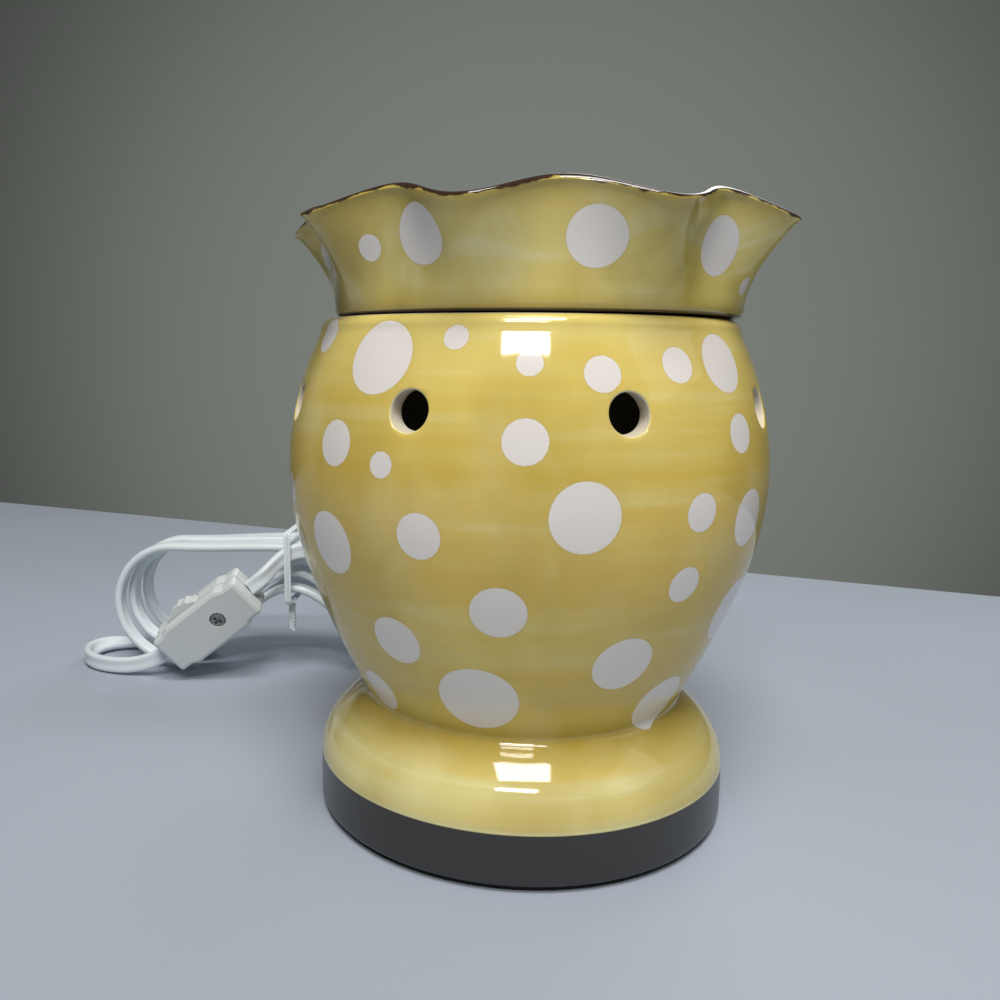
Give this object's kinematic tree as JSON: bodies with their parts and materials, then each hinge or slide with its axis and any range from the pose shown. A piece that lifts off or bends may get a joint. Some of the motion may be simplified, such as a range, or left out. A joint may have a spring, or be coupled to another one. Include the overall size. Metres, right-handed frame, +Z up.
{
  "type": "wax warmer",
  "caption": "Bulb-type ceramic wax warmer: pierced bellied body on a flared foot, lift-off fluted dish, lamp socket and bulb, flat lead with in-line thumb-wheel switch and plug.",
  "frame": {"origin": "on the body's axis at the underside of the base pad, where it rests", "axes": "+Z up along the body's axis, the front looks along -Y"},
  "size_m": [0.2372, 0.1737, 0.1568],
  "materials": {
    "base_pad": "felt",
    "bulb_filament": "drawn wire",
    "bulb_glass": "clear",
    "bulb_insulator": "gloss",
    "bulb_screw_cap": "satin",
    "bulb_stem": "clear",
    "bulb_tip_contact": "satin",
    "cord_hank": "satin",
    "cord_lead": "satin",
    "cord_link": "satin",
    "cord_tail": "satin",
    "inner_lead": "satin",
    "nipple_nut": "zinc plated",
    "nipple_washer": "zinc plated",
    "plug_blade_narrow": "bright",
    "plug_blade_wide": "bright",
    "plug_body": "satin",
    "socket_body": "satin",
    "socket_contact": "satin",
    "socket_nipple": "zinc plated",
    "socket_screw_shell": "satin",
    "strain_relief": "satin",
    "switch_axle": "bright",
    "switch_front_shell": "satin",
    "switch_nut": "zinc plated",
    "switch_rear_shell": "satin",
    "switch_screw": "zinc plated",
    "switch_wheel": "satin",
    "twist_tie": "satin",
    "warmer_body": "gloss",
    "wax_dish": "gloss"
  },
  "bodies": {
    "warmer": {"base_pad": "base_pad", "cord_hank": "cord_hank", "cord_lead": "cord_lead", "cord_link": "cord_link", "cord_tail": "cord_tail", "inner_lead": "inner_lead", "nipple_nut": "nipple_nut", "nipple_washer": "nipple_washer", "plug_blade_narrow": "plug_blade_narrow", "plug_blade_wide": "plug_blade_wide", "plug_body": "plug_body", "socket_body": "socket_body", "socket_contact": "socket_contact", "socket_nipple": "socket_nipple", "socket_screw_shell": "socket_screw_shell", "strain_relief": "strain_relief", "switch_axle": "switch_axle", "switch_front_shell": "switch_front_shell", "switch_nut": "switch_nut", "switch_rear_shell": "switch_rear_shell", "switch_screw": "switch_screw", "twist_tie": "twist_tie", "warmer_body": "warmer_body"},
    "dish": {"wax_dish": "wax_dish"},
    "bulb": {"bulb_glass": "bulb_glass", "bulb_screw_cap": "bulb_screw_cap", "bulb_insulator": "bulb_insulator", "bulb_tip_contact": "bulb_tip_contact", "bulb_stem": "bulb_stem", "bulb_filament": "bulb_filament"},
    "thumb_wheel": {"switch_wheel": "switch_wheel"}
  },
  "joints": [
    {"name": "dish_lift", "type": "slide", "parent": "warmer", "child": "dish", "axis": [0, 0, 1], "range_m": [0, 0.06]},
    {"name": "bulb_turn", "type": "hinge", "parent": "warmer", "child": "bulb", "pos_m": [0, 0, 0.045], "axis": [0, 0, 1], "range_deg": [0, 1440]},
    {"name": "wheel_turn", "type": "hinge", "parent": "warmer", "child": "thumb_wheel", "pos_m": [-0.11965, 0.07068, 0.02404], "axis": [0.1445, -0.9521, -0.2695], "continuous": true}
  ]
}
